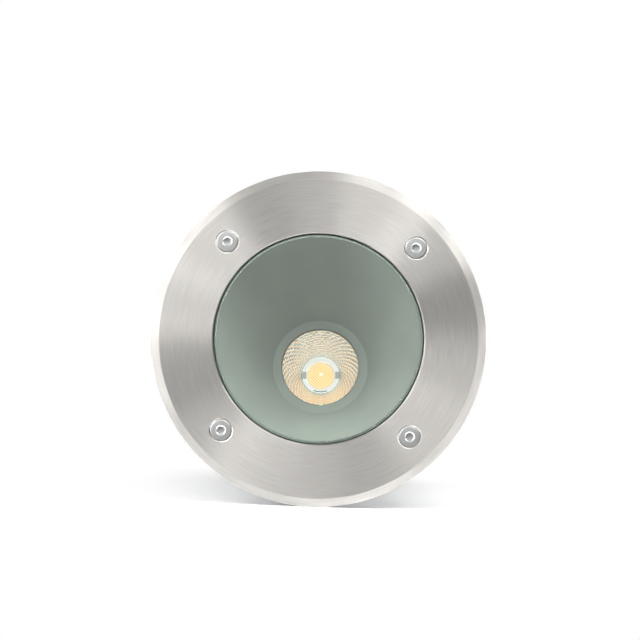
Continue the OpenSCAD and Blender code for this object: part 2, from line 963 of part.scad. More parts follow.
module turntable() {
    color("#9da1a3") aimed() difference() {
        disc(turntable_r, turntable_low, turntable_top);
        disc(spindle_r + fit_gap, turntable_low - cut, turntable_top + cut);
        at_each(post_places) translate([0, 0, turntable_low]) mirror([0, 0, 1])
            countersunk_hole(small_head_r, small_screw_r, 2 * turntable_t);
        at_each(wedge_screw_places) translate([0, 0, turntable_low]) mirror([0, 0, 1])
            countersunk_hole(small_head_r, small_screw_r, 2 * turntable_t);
    }
}

module wave_washer() {
    color(screw_grey) ring(wave_washer_r, spindle_r + washer_gap, turntable_top, ring_low);
}

module optic_posts() {
    color("#c2c4c4") aimed() at_each(post_places) difference() {
        union() {
            hex(post_flats, turntable_top, post_top);
            disc(small_screw_r, post_top, post_top + post_stud_h);
        }
        disc(small_screw_r + fit_gap, turntable_top - cut, turntable_top + post_tap_h);
    }
}

module post_screws() {
    color(screw_grey) aimed() at_each(post_places) translate([0, 0, turntable_low]) mirror([0, 0, 1])
        countersunk(small_head_r, small_screw_r, post_screw_reach);
}

// Solid cone between the bezel's upper edge and the ledge, grown by a wall thickness
module bezel_cone(wall, ledge_z, top_z) {
    hull() {
        disc(bezel_r + wall, top_z - slice, top_z);
        tilted() disc(ledge_r + wall, ledge_z, ledge_z + slice);
    }
}

module anti_glare_bezel() {
    color(bezel_grey) aimed() difference() {
        union() {
            bezel_cone(bezel_wall, -ledge_t, bezel_top);
            ring(bezel_rim_r, bezel_r, bezel_top - bezel_rim_t, bezel_top);
            at_each(post_places) disc(post_boss_r, post_top, post_boss_top);
        }
        bezel_cone(0, 0, bezel_top);
        disc(bezel_r, bezel_top - slice, bezel_top + cut);
        tilted() disc(hole_r, -2 * ledge_t, cut);
        at_each(post_places) disc(small_screw_r, post_top - cut, post_top + post_stud_h);
    }
}

// Inner radius of the reflector at a height in the light hole's frame
function reflector_radius(z) = sqrt(pow(reflector_foot_r, 2) + reflector_rate * (z - reflector_low));

module reflector() {
    heights = [for (i = [0:reflector_steps]) reflector_low + i * reflector_h / reflector_steps];
    flange_low = reflector_top - reflector_wall;
    color("#e8e2d4") aimed() tilted() {
        rotate_extrude() polygon(concat(
            [for (z = heights) [reflector_radius(z), z]],
            [for (i = [reflector_steps:-1:0])
                [reflector_radius(heights[i]) + reflector_wall, heights[i]]]
        ));
        ring(reflector_flange_r, reflector_r + reflector_wall / 2, flange_low, reflector_top);
    }
}

module led_emitter() {
    color("#f2b63c") aimed() tilted() disc(emitter_r, led_board_top, led_board_top + emitter_t);
}

module led_board() {
    color("#d8d8d2") aimed() tilted() held() rotate([0, 0, board_turn])
        block(led_board_w, led_board_w, led_board_low, led_board_top);
}

module thermal_pad() {
    color("#7c8ea0") aimed() tilted() held() rotate([0, 0, board_turn])
        block(led_board_w, led_board_w, holder_low, led_board_low);
}

// The two diagonal places of the holder's screws
module holder_screw_places() {
    around(2, holder_screw_circle_r, board_turn) children();
}

module led_holder() {
    ring_top = holder_top + holder_ring_h;
    color("#dcdcd8") aimed() tilted() held() difference() {
        union() {
            disc(holder_d / 2, holder_low, holder_top);
            disc(holder_ring_d / 2, holder_top, ring_top);
        }
        rotate([0, 0, board_turn])
            block(led_board_w + board_gap, led_board_w + board_gap, holder_low - cut, led_board_top);
        frustum(holder_eye_low_r, holder_eye_top_r, led_board_top, ring_top);
        disc(holder_eye_top_r, ring_top, ring_top + cut);
        disc(holder_eye_low_r, led_board_top - cut, led_board_top);
        both_sides() translate([contact_x, -contact_slot_w / 2, led_board_top])
            cube([holder_d / 2, contact_slot_w, holder_t + cut]);
        translate([0, -holder_ring_d / 2, 0])
            block(ring_slot_w, ring_slot_d, led_board_top, ring_top + cut);
        holder_screw_places() disc(small_screw_r + fit_gap, holder_low - cut, holder_top + cut);
    }
}

module led_contacts() {
    color("#6d6f70") aimed() tilted() held() both_sides() {
        translate([contact_x, -contact_slot_w / 2, led_board_top])
            cube([contact_pad_w, contact_slot_w, contact_pad_h]);
        translate([contact_x, -contact_strip_w / 2, led_board_top])
            cube([contact_end_x - contact_x, contact_strip_w, contact_strip_h]);
    }
}

module holder_screws() {
    color(screw_grey) aimed() tilted() held() holder_screw_places() translate([0, 0, holder_top])
        pan_head(holder_screw_head_r, holder_screw_head_h, small_screw_r, holder_screw_length);
}

module heat_wedge() {
    wedge_top = -hole_depth;
    color("#aeb2b4") aimed() difference() {
        translate([-wedge_w / 2, wedge_back, turntable_top])
            cube([wedge_w, wedge_front - wedge_back, wedge_top - turntable_top]);
        tilted() block(2 * wedge_w, 4 * wedge_w, holder_low, 2 * wedge_w);
        disc(wedge_relief_r, turntable_top - cut, turntable_top + wedge_relief_h);
        at_each(wedge_screw_places)
            disc(small_screw_r + fit_gap, turntable_top - cut, turntable_low + wedge_screw_reach);
        tilted() held() holder_screw_places()
            disc(small_screw_r + fit_gap, holder_top - holder_screw_length, holder_low + cut);
    }
}

module wedge_screws() {
    color(screw_grey) aimed() at_each(wedge_screw_places) translate([0, 0, turntable_low]) mirror([0, 0, 1])
        countersunk(small_head_r, small_screw_r, wedge_screw_reach);
}

// A point of the turned holder, from the light hole's frame into the lamp's
function from_holder(x, y, z) = let (
    turned_x = x * cos(holder_turn) - y * sin(holder_turn),
    turned_y = x * sin(holder_turn) + y * cos(holder_turn),
    leaned_y = turned_y * cos(tilt) + z * sin(tilt),
    leaned_z = z * cos(tilt) - turned_y * sin(tilt)
)
    [turned_x, leaned_y - hole_offset, leaned_z - hole_depth];

module led_leads() {
    start_z = led_board_top + lead_r;
    color("#b02a22") aimed() for (side = [-1, 1]) wire([
        from_holder(side * contact_end_x, 0, start_z),
        from_holder(side * (contact_end_x + lead_tail), 0, start_z),
        [side * lead_out_x, lead_out_y, lead_out_z],
        [side * lead_over_x, lead_over_y, lead_over_z],
        [side * lead_pitch / 2, 0, lead_mouth_z],
        [side * lead_pitch / 2, 0, lead_end_z],
    ], lead_r);
}

mounting_sleeve();
entry_plug();
sleeve_gasket();
trim_ring();
trim_screws();
glass_lens();
upper_glass_seal();
lower_glass_seal();
housing();
bearing_plate();
plate_screws();
spindle();
spindle_nut();
friction_washer();
retaining_ring();
driver_case();
driver_cover();
driver_screws();
driver_board();
driver_coil();
driver_capacitors();
terminal_block();
terminal_screws();
earth_screw();
input_wires();
output_wires();
earth_wire();
gland_body();
gland_o_ring();
gland_locknut();
gland_bush();
gland_dome_nut();
breather_valve();
turntable();
wave_washer();
optic_posts();
post_screws();
anti_glare_bezel();
reflector();
led_emitter();
led_board();
led_holder();
led_contacts();
holder_screws();
thermal_pad();
heat_wedge();
wedge_screws();
led_leads();
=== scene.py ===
import json
import math

import bmesh
import bpy
import numpy as np
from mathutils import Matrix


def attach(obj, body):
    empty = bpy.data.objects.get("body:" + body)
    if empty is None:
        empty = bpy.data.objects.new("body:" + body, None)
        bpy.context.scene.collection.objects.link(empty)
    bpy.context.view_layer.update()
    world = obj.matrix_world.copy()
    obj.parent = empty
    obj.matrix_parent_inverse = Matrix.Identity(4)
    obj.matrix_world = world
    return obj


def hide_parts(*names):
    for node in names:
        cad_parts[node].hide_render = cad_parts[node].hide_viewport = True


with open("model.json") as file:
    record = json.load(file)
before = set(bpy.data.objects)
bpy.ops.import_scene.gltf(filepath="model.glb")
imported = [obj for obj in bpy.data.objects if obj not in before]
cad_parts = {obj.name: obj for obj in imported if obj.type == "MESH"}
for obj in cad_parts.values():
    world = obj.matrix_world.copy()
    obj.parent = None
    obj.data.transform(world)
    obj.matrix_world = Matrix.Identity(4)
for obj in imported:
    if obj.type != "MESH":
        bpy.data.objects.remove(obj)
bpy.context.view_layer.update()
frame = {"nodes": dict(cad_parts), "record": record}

mm = 0.001
print("frame loaded,", len(frame["nodes"]), "nodes")

# ---- camera: straight down on the lamp's face, turned a little, as the photograph is
view = {
    "distance": 1200,  # mm from the top of the trim
    "fieldWidth": 342.5,  # mm across the picture at the top of the trim
    "pictureWidth": 640,  # pixels
    "axisLeft": 1.5,  # pixels from the middle of the picture to the lamp's axis
    "axisBelow": 19.2,
    "roll": 2.0,  # degrees
    "sensorWidth": 36,
    "trimTop": 5.5,
}
pixel = view["fieldWidth"] / view["pictureWidth"]
roll = math.radians(view["roll"])
cameraData = bpy.data.cameras.new("camera")
cameraData.sensor_width = view["sensorWidth"]
cameraData.lens = view["sensorWidth"] * view["distance"] / view["fieldWidth"]
cameraData.clip_start = 0.05
cameraData.clip_end = 20
camera = bpy.data.objects.new("camera", cameraData)
camera.location = (
    mm * pixel * (view["axisLeft"] * math.cos(roll) - view["axisBelow"] * math.sin(roll)),
    mm * pixel * (view["axisLeft"] * math.sin(roll) + view["axisBelow"] * math.cos(roll)),
    mm * (view["distance"] + view["trimTop"]),
)
camera.rotation_euler = (0, 0, roll)
bpy.context.collection.objects.link(camera)
bpy.context.scene.camera = camera
print("camera ready")


# ---- small tools for materials
def linearColour(hexColour):
    # sRGB hex to linear: the power curve, with its straight foot near black
    part = np.array([int(hexColour[i:i + 2], 16) for i in (1, 3, 5)]) / 255
    linear = np.where(part <= 0.04045, part / 12.92, ((part + 0.055) / 1.055) ** 2.4)
    return (*linear.tolist(), 1.0)


def addNode(tree, kind, inputs=None, **settings):
    # one node with its settings; an input is a value, or the output socket that feeds it
    node = tree.nodes.new(kind)
    for key, value in settings.items():
        setattr(node, key, value)
    for key, value in (inputs or {}).items():
        if isinstance(value, bpy.types.NodeSocket):
            tree.links.new(value, node.inputs[key])
        else:
            node.inputs[key].default_value = value
    return node


def startMaterial(name):
    # an empty material, its Principled shader and the piece's own coordinates in metres
    material = bpy.data.materials.new(name)
    material.use_nodes = True
    tree = material.node_tree
    tree.nodes.clear()
    shader = addNode(tree, "ShaderNodeBsdfPrincipled")
    addNode(tree, "ShaderNodeOutputMaterial", {"Surface": shader.outputs[0]})
    place = addNode(tree, "ShaderNodeTexCoord").outputs["Object"]
    return material, tree, shader, place


def setShader(shader, **values):
    # plain numbers straight on the shader's own sockets
    names = {
        "colour": "Base Color", "metallic": "Metallic", "roughness": "Roughness", "ior": "IOR",
        "coat": "Coat Weight", "coatRoughness": "Coat Roughness", "transmission": "Transmission Weight",
        "anisotropic": "Anisotropic", "scatter": "Subsurface Weight", "scatterScale": "Subsurface Scale",
        "glow": "Emission Strength", "glowColour": "Emission Color",
    }
    for key, value in values.items():
        shader.inputs[names[key]].default_value = value


def grain(tree, place, size, detail=2.0, roughness=0.5):
    # noise whose lumps are about `size` mm across
    return addNode(tree, "ShaderNodeTexNoise", {
        "Vector": place, "Scale": 1 / (size * mm), "Detail": detail, "Roughness": roughness,
    }).outputs["Fac"]


def between(tree, amount, low, high):
    # a number that goes from low to high as amount goes from 0.3 to 0.7
    return addNode(tree, "ShaderNodeMapRange", {
        "Value": amount, "From Min": 0.3, "From Max": 0.7, "To Min": low, "To Max": high,
    }).outputs["Result"]


def blendColours(tree, amount, first, second):
    mix = addNode(tree, "ShaderNodeMix", {0: amount, 6: linearColour(first), 7: linearColour(second)},
                  data_type="RGBA")
    return mix.outputs[2]


def relief(tree, shader, height, depth):
    # bumps that stand `depth` mm high
    bump = addNode(tree, "ShaderNodeBump", {"Height": height, "Distance": depth * mm, "Strength": 1.0})
    tree.links.new(bump.outputs["Normal"], shader.inputs["Normal"])


# ---- finishes
brushing = {
    "widths": (0.7, 0.35),  # mm, far coarser than real 180 grit marks of 0.1 mm, so that they show
    "arcs": 5,  # how many marks follow each other per radian round the axis
}


def brushedStainless():
    # 316 stainless steel, brushed in circles with 180 grit: bright fans across the circles, warm grey
    material, tree, shader, place = startMaterial("brushed stainless steel")
    flat = addNode(tree, "ShaderNodeVectorMath", {0: place, 1: (1, 1, 0)}, operation="MULTIPLY")
    outward = addNode(tree, "ShaderNodeVectorMath", {0: flat.outputs[0]}, operation="NORMALIZE").outputs[0]
    radius = addNode(tree, "ShaderNodeVectorMath", {0: flat.outputs[0]}, operation="LENGTH").outputs["Value"]
    rings = []
    for width in brushing["widths"]:
        along = addNode(tree, "ShaderNodeVectorMath", {0: outward, "Scale": brushing["arcs"]},
                        operation="SCALE").outputs[0]
        across = addNode(tree, "ShaderNodeMath", {0: radius, 1: 1 / (width * mm)}, operation="MULTIPLY")
        step = addNode(tree, "ShaderNodeCombineXYZ", {"Z": across.outputs[0]}).outputs[0]
        spot = addNode(tree, "ShaderNodeVectorMath", {0: along, 1: step}, operation="ADD").outputs[0]
        rings.append(addNode(tree, "ShaderNodeTexNoise", {
            "Vector": spot, "Scale": 1.0, "Detail": 4.0, "Roughness": 0.6,
        }).outputs["Fac"])
    marks = addNode(tree, "ShaderNodeMath", {0: rings[0], 1: rings[1]}, operation="ADD").outputs[0]
    half = addNode(tree, "ShaderNodeMath", {0: marks, 1: 0.5}, operation="MULTIPLY").outputs[0]
    setShader(shader, metallic=1.0, anisotropic=1.0)
    tree.links.new(blendColours(tree, between(tree, half, 0.0, 1.0), "#CFCCC7", "#E1DEDA"),
                   shader.inputs["Base Color"])
    tree.links.new(between(tree, half, 0.54, 0.43), shader.inputs["Roughness"])
    tree.links.new(outward, shader.inputs["Tangent"])
    relief(tree, shader, half, 0.013)
    return material


turning = {
    "screwAt": 143 / 2 * math.sqrt(0.5),  # mm from the lamp's two axes to each trim screw
    "ringWidth": 0.45,  # mm, far coarser than real turning marks of 0.05 mm, so that they show
    "markLength": 2.5,
}


def turnedStainless():
    # A4 stainless screws, turned: cool grey, with fine rings round each screw's own axis
    material, tree, shader, place = startMaterial("turned stainless steel")
    folded = addNode(tree, "ShaderNodeVectorMath", {0: place}, operation="ABSOLUTE").outputs[0]
    screwMiddle = (turning["screwAt"] * mm, turning["screwAt"] * mm, 0)
    local = addNode(tree, "ShaderNodeVectorMath",
                    {0: folded, 1: screwMiddle}, operation="SUBTRACT").outputs[0]
    flat = addNode(tree, "ShaderNodeVectorMath", {0: local, 1: (1, 1, 0)}, operation="MULTIPLY").outputs[0]
    radius = addNode(tree, "ShaderNodeVectorMath", {0: flat}, operation="LENGTH").outputs["Value"]
    across = addNode(tree, "ShaderNodeMath",
                     {0: radius, 1: 1 / (turning["ringWidth"] * mm)}, operation="MULTIPLY")
    step = addNode(tree, "ShaderNodeCombineXYZ", {"Z": across.outputs[0]}).outputs[0]
    along = addNode(tree, "ShaderNodeVectorMath",
                    {0: flat, "Scale": 1 / (turning["markLength"] * mm)}, operation="SCALE").outputs[0]
    spot = addNode(tree, "ShaderNodeVectorMath", {0: along, 1: step}, operation="ADD").outputs[0]
    marks = addNode(tree, "ShaderNodeTexNoise", {
        "Vector": spot, "Scale": 1.0, "Detail": 3.0, "Roughness": 0.6}).outputs["Fac"]
    setShader(shader, metallic=1.0)
    tree.links.new(blendColours(tree, between(tree, marks, 0.0, 1.0), "#B9BABA", "#CECFCE"),
                   shader.inputs["Base Color"])
    tree.links.new(between(tree, marks, 0.46, 0.38), shader.inputs["Roughness"])
    relief(tree, shader, marks, 0.008)
    return material


def temperedGlass():
    # soda lime float glass, tempered: clear, green through its edge; lamps shine through to what is inside
    material, tree, shader = startMaterial("tempered glass")[:3]
    setShader(shader, colour=linearColour("#F5FAF7"), roughness=0.0, ior=1.52, transmission=1.0)
    clear = addNode(tree, "ShaderNodeBsdfTransparent", {"Color": linearColour("#F2F8F4")})
    path = addNode(tree, "ShaderNodeLightPath")
    mix = addNode(tree, "ShaderNodeMixShader",
                  {0: path.outputs["Is Shadow Ray"], 1: shader.outputs[0], 2: clear.outputs[0]})
    output = next(node for node in tree.nodes if node.type == "OUTPUT_MATERIAL")
    tree.links.new(mix.outputs[0], output.inputs["Surface"])
    return material


def groundGlass():
    # the ground edge of the same glass: matt, pale green, with the grain of the grinding wheel
    material, tree, shader, place = startMaterial("ground glass edge")
    grit = grain(tree, place, 0.4, 3.0)
    tree.links.new(blendColours(tree, between(tree, grit, 0.0, 1.0), "#737C74", "#7F8981"),
                   shader.inputs["Base Color"])
    setShader(shader, roughness=0.6, ior=1.52)
    return material


def satinPaint():
    # satin powder coat on spun aluminium: a soft wide sheen over a faint orange peel of about 1 mm
    material, tree, shader, place = startMaterial("satin paint")
    peel = grain(tree, place, 1.0)
    cloud = grain(tree, place, 18.0, 3.0)
    tree.links.new(blendColours(tree, between(tree, cloud, 0.0, 1.0), "#969993", "#9C9F99"),
                   shader.inputs["Base Color"])
    tree.links.new(between(tree, cloud, 0.46, 0.40), shader.inputs["Roughness"])
    setShader(shader, ior=1.5)
    relief(tree, shader, peel, 0.01)
    return material


def mirrorCoating():
    # aluminium evaporated on polycarbonate under a clear lacquer: nearly a mirror
    material, tree, shader, place = startMaterial("mirror coating")
    haze = grain(tree, place, 3.0, 3.0)
    setShader(shader, metallic=1.0, colour=linearColour("#F3F2F0"), coat=0.3, coatRoughness=0.05)
    tree.links.new(between(tree, haze, 0.03, 0.06), shader.inputs["Roughness"])
    return material


chipSpacing = 1.7  # mm between the rows of chips under the gel


def phosphorGel(centre):
    # silicone filled with yellow phosphor over rows of small chips: amber, with a glossy skin
    material, tree, shader, place = startMaterial("phosphor gel")
    local = addNode(tree, "ShaderNodeMapping",
                    {"Vector": place, "Location": tuple(-c for c in centre)}, vector_type="POINT").outputs[0]
    phase = addNode(tree, "ShaderNodeMapping", {
        "Vector": local, "Scale": (2 * math.pi / (chipSpacing * mm),) * 3}, vector_type="POINT").outputs[0]
    split = addNode(tree, "ShaderNodeSeparateXYZ", {0: phase})
    waves = [addNode(tree, "ShaderNodeMath", {0: split.outputs[i]}, operation="SINE").outputs[0]
             for i in (0, 1)]
    chips = addNode(tree, "ShaderNodeMath", {0: waves[0], 1: waves[1]}, operation="MULTIPLY").outputs[0]
    raised = addNode(tree, "ShaderNodeMapRange", {
        "Value": chips, "From Min": -0.6, "From Max": 0.8}).outputs["Result"]
    tree.links.new(blendColours(tree, raised, "#FFC25C", "#FFF6DE"), shader.inputs["Base Color"])
    setShader(shader, roughness=0.3, ior=1.41, scatter=0.15, scatterScale=0.001,
              glow=0.6, glowColour=linearColour("#FFC07C"), coat=1.0, coatRoughness=0.03)
    relief(tree, shader, chips, 0.004)
    return material


def mouldedPlastic(name, dark, light, roughness, grainSize, grainDepth):
    # injection moulded plastic with a spark-eroded grain: dull, a little paler where it is worn
    material, tree, shader, place = startMaterial(name)
    texture = grain(tree, place, grainSize, 4.0, 0.6)
    cloud = grain(tree, place, 25.0, 4.0)
    tree.links.new(blendColours(tree, between(tree, cloud, 0.0, 1.0), dark, light),
                   shader.inputs["Base Color"])
    tree.links.new(between(tree, texture, roughness - 0.05, roughness + 0.07), shader.inputs["Roughness"])
    setShader(shader, ior=1.5)
    relief(tree, shader, texture, grainDepth)
    return material


def rubber(name="silicone rubber", dark="#141414", light="#1E1E1F"):
    # silicone rubber, moulded: nearly matt, with a faint bloom
    material, tree, shader, place = startMaterial(name)
    bloom = grain(tree, place, 6.0, 4.0)
    tree.links.new(blendColours(tree, between(tree, bloom, 0.0, 1.0), dark, light),
                   shader.inputs["Base Color"])
    tree.links.new(between(tree, bloom, 0.62, 0.75), shader.inputs["Roughness"])
    setShader(shader, ior=1.43)
    relief(tree, shader, grain(tree, place, 0.5), 0.01)
    return material


def castAluminium():
    # die-cast aluminium under a dark grey powder coat: a pebbled skin with small flow marks
    material, tree, shader, place = startMaterial("powder coated casting")
    pebbles = grain(tree, place, 0.9, 3.0, 0.6)
    flow = grain(tree, place, 22.0, 5.0, 0.6)
    tree.links.new(blendColours(tree, between(tree, flow, 0.0, 1.0), "#4E5255", "#5B5F62"),
                   shader.inputs["Base Color"])
    tree.links.new(between(tree, pebbles, 0.42, 0.55), shader.inputs["Roughness"])
    setShader(shader, ior=1.5)
    relief(tree, shader, pebbles, 0.05)
    return material


def metalFinish(name, dark, light, roughness, markSize, depth):
    # bare or plated metal, tumbled or cut: broken reflections with fine scratches
    material, tree, shader, place = startMaterial(name)
    streaks = addNode(tree, "ShaderNodeMapping", {"Vector": place, "Scale": (1, 1, 0.15)}).outputs[0]
    marks = grain(tree, streaks, markSize, 5.0, 0.65)
    tree.links.new(blendColours(tree, between(tree, marks, 0.0, 1.0), dark, light),
                   shader.inputs["Base Color"])
    tree.links.new(between(tree, marks, roughness + 0.06, roughness - 0.06), shader.inputs["Roughness"])
    setShader(shader, metallic=1.0)
    relief(tree, shader, marks, depth)
    return material


def wireSheath(name, dark, light):
    # extruded insulation: smooth and glossy, slightly uneven along its length
    material, tree, shader, place = startMaterial(name)
    waver = grain(tree, place, 2.5, 2.0)
    tree.links.new(blendColours(tree, between(tree, waver, 0.0, 1.0), dark, light),
                   shader.inputs["Base Color"])
    tree.links.new(between(tree, waver, 0.28, 0.38), shader.inputs["Roughness"])
    setShader(shader, ior=1.5)
    relief(tree, shader, waver, 0.02)
    return material


finishes = {
    "sleeve_plastic": mouldedPlastic("moulded polypropylene", "#232527", "#2C2E31", 0.50, 0.8, 0.04),
    "seal_rubber": rubber(),
    "trim_stainless": brushedStainless(),
    "screw_stainless": turnedStainless(),
    "green_glass": temperedGlass(),
    "cast_aluminium": castAluminium(),
    "machined_aluminium": metalFinish("milled aluminium", "#B9BBBD", "#D0D2D4", 0.34, 0.8, 0.01),
    "zinc_steel": metalFinish("zinc plated steel", "#AEB2B8", "#C8CBD0", 0.32, 0.6, 0.01),
    "spindle_brass": metalFinish("turned brass", "#C9A658", "#DABB74", 0.28, 0.6, 0.01),
    "washer_acetal": mouldedPlastic("blue grey acetal", "#5A6A7C", "#66778A", 0.42, 0.8, 0.01),
    "driver_plastic": mouldedPlastic("off white polycarbonate", "#D8D8D3", "#E2E2DE", 0.45, 0.7, 0.02),
    "circuit_board": mouldedPlastic("green solder resist", "#175034", "#1E6341", 0.30, 1.2, 0.01),
    "coil_tape": mouldedPlastic("yellow winding tape", "#C9AE32", "#D9C04A", 0.30, 1.5, 0.02),
    "capacitor_sleeve": mouldedPlastic("blue shrink sleeve", "#242B55", "#2D3565", 0.30, 1.5, 0.02),
    "terminal_plastic": mouldedPlastic("ivory polyamide", "#DDD8C8", "#E6E2D5", 0.45, 0.7, 0.02),
    "brown_insulation": wireSheath("brown insulation", "#5E3520", "#6E4028"),
    "red_insulation": wireSheath("red insulation", "#A3241D", "#B8302A"),
    "earth_insulation": wireSheath("green and yellow insulation", "#6F9A2C", "#C8C23A"),
    "gland_plastic": mouldedPlastic("glass filled nylon", "#1F2022", "#292A2C", 0.48, 0.6, 0.03),
    "nickel_brass": metalFinish("nickel plated brass", "#B8B6AE", "#CFCDC6", 0.26, 0.6, 0.005),
    "bezel_paint": satinPaint(),
    "reflector_coating": mirrorCoating(),
    "led_ceramic": mouldedPlastic("white ceramic", "#E4E4DF", "#EDEDE9", 0.40, 0.6, 0.005),
    "holder_plastic": mouldedPlastic("white liquid crystal polymer with painted glow", "#E9EAE8", "#F2F3F1", 0.38, 0.6, 0.01),
    "contact_steel": metalFinish("tinned spring steel", "#B4B7B9", "#C6C9CB", 0.42, 0.5, 0.005),
    "thermal_silicone": rubber("grey thermal silicone", "#7E8C9A", "#8B99A6"),
}
# a painted glow on the white holder stands in for the emitter's light falling round it; the holder itself is
# no lamp
holderNodes = finishes["holder_plastic"].node_tree.nodes
holderShader = next(node for node in holderNodes if node.type == "BSDF_PRINCIPLED")
setShader(holderShader, glow=0.38, glowColour=linearColour("#F8FAF8"))
print("finishes ready,", len(finishes))


# ---- small tools for shapes, all in mm
def softened(path, reach, steps=4):
    # each corner becomes a quadratic curve between points `reach` before and after it:
    # (1-t)^2 start + 2 t (1-t) corner + t^2 end. The path is closed; its first axis runs along it
    path = np.asarray(path, float)
    reach = np.broadcast_to(np.asarray(reach, float), path.shape[:1])
    reach = reach.reshape(reach.shape + (1,) * (path.ndim - 1))
    back, ahead = np.roll(path, 1, 0) - path, np.roll(path, -1, 0) - path
    start = path + reach * back / np.linalg.norm(back, axis=-1, keepdims=True)
    end = path + reach * ahead / np.linalg.norm(ahead, axis=-1, keepdims=True)
    t = np.linspace(0, 1, steps + 1).reshape((-1,) + (1,) * path.ndim)
    curve = (1 - t) ** 2 * start + 2 * t * (1 - t) * path + t ** 2 * end
    return np.moveaxis(curve, 0, 1).reshape((-1,) + path.shape[1:])


def gridFaces(rows, columns, closedRows=True):
    # four-sided faces of a grid whose columns wrap round, and whose rows do if closedRows is true
    i, j = np.meshgrid(np.arange(rows if closedRows else rows - 1), np.arange(columns), indexing="ij")
    k, m = (i + 1) % rows, (j + 1) % columns
    return np.stack([i * columns + j, i * columns + m, k * columns + m, k * columns + j], -1).reshape(-1, 4)


def turned(profile, sides, centre=(0, 0)):
    # a closed profile of radius and height carried round an upright axis: x = r cos a, y = r sin a
    angle = 2 * math.pi * np.arange(sides) / sides
    radius, height = profile[:, :1], profile[:, 1:]
    points = np.stack([
        centre[0] + radius * np.cos(angle), centre[1] + radius * np.sin(angle), height + 0 * angle,
    ], -1)
    return points.reshape(-1, 3), gridFaces(len(profile), sides)


def joined(shells):
    # several shells as one set of points and faces
    starts = np.cumsum([0] + [len(points) for points, faces in shells[:-1]])
    return (np.concatenate([points for points, faces in shells]),
            np.concatenate([faces + start for (points, faces), start in zip(shells, starts)]))


def makeMesh(name, points, faces, crease, recalculate=True):
    # a mesh in metres with its doubles merged, faces outwards, smooth up to `crease` degrees
    mesh = bpy.data.meshes.new(name)
    mesh.from_pydata((points * mm).tolist(), [], faces.tolist())
    work = bmesh.new()
    work.from_mesh(mesh)
    bmesh.ops.remove_doubles(work, verts=work.verts, dist=2e-7)
    bmesh.ops.dissolve_degenerate(work, edges=work.edges, dist=2e-7)
    if recalculate:
        bmesh.ops.recalc_face_normals(work, faces=work.faces)
    work.to_mesh(mesh)
    work.free()
    creased(mesh, crease)
    return mesh


def creased(mesh, crease):
    mesh.shade_smooth()
    mesh.set_sharp_from_angle(angle=math.radians(crease))


def addPiece(name, mesh, body, slot, nodes=(), material=None):
    piece = bpy.data.objects.new(name, mesh)
    bpy.context.collection.objects.link(piece)
    mesh.materials.clear()
    mesh.materials.append(material or finishes[slot])
    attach(piece, body)
    if nodes:
        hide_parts(*nodes)
    return piece


# the light hole's frame, where zero is the top of the ledge, and its place in the lamp
optic = {"bearing": 5.4, "tilt": 13.5, "offset": 16, "depth": 47}


def aimed(points):
    # a turn about the lamp's axis
    turn = math.radians(optic["bearing"])
    x, y = points[..., 0], points[..., 1]
    return np.stack([x * math.cos(turn) - y * math.sin(turn), x * math.sin(turn) + y * math.cos(turn),
                     points[..., 2]], -1)


def tilted(points):
    # a lean of the hole's axis towards +Y, then its shift to the hole's place, then the optic's turn
    lean = math.radians(-optic["tilt"])
    y, z = points[..., 1], points[..., 2]
    return aimed(np.stack([
        points[..., 0],
        y * math.cos(lean) - z * math.sin(lean) - optic["offset"],
        y * math.sin(lean) + z * math.cos(lean) - optic["depth"],
    ], -1))


# ---- trim ring: a turned plate with four countersunk holes
trim = {
    "outer": 90, "opening": 56.7, "top": 5.5, "low": 1.5, "skirt": 5, "bevelWidth": 4.5, "bevelHeight": 2.8,
    "chamfer": 0.5, "screwCircle": 71.5, "holeTop": 6.4, "hole": 3.05, "edge": 0.14, "sides": 360,
}
trimProfile = softened([
    [trim["opening"], trim["low"]],
    [trim["outer"] - trim["skirt"], trim["low"]],
    [trim["outer"] - trim["skirt"], 0],
    [trim["outer"], 0],
    [trim["outer"], trim["top"] - trim["bevelHeight"]],
    *[[trim["outer"] - share * trim["bevelWidth"], trim["top"] - (1 - share) * trim["bevelHeight"]]
      for share in (0.12, 0.88)],  # points near a corner keep the flats flat
    [trim["outer"] - trim["bevelWidth"], trim["top"]],
    [trim["outer"] - trim["bevelWidth"] - 0.6, trim["top"]],
    [trim["opening"] + trim["chamfer"] + 0.4, trim["top"]],
    [trim["opening"] + trim["chamfer"], trim["top"]],
    [trim["opening"], trim["top"] - trim["chamfer"]],
], [0.1, 0.1, 0.1, 0.3, 0.25, 0, 0, 0.25, 0, 0, 0.1, 0.15])
trimMesh = makeMesh("trim_ring_brushed", *turned(trimProfile, trim["sides"]), crease=50)
holeProfile = np.array([
    [0, -2], [trim["hole"], -2], [trim["hole"], trim["top"] - trim["holeTop"] + trim["hole"]],
    [trim["holeTop"] - trim["edge"], trim["top"] - trim["edge"]],
    [trim["holeTop"] + trim["edge"], trim["top"] + 0.03], [trim["holeTop"] + trim["edge"], 8], [0, 8],
], float)
screwAngles = np.radians([45, 135, 225, 315])
screwCentres = trim["screwCircle"] * np.stack([np.cos(screwAngles), np.sin(screwAngles)], -1)
cutter = bpy.data.objects.new("holes", makeMesh(
    "holes", *joined([turned(holeProfile, 96, centre) for centre in screwCentres]), crease=30))
bpy.context.collection.objects.link(cutter)
blank = bpy.data.objects.new("blank", trimMesh)
bpy.context.collection.objects.link(blank)
cut = blank.modifiers.new("holes", "BOOLEAN")
cut.operation = "DIFFERENCE"
cut.object = cutter
cut.solver = "EXACT"
bpy.context.view_layer.update()
trimCut = bpy.data.meshes.new_from_object(blank.evaluated_get(bpy.context.evaluated_depsgraph_get()))
bpy.data.objects.remove(blank)
bpy.data.objects.remove(cutter)
creased(trimCut, 30)
addPiece("trim_ring_brushed", trimCut, "luminaire", "trim_stainless", ["trim_ring"])
print("trim ring ready,", len(trimCut.polygons), "faces")

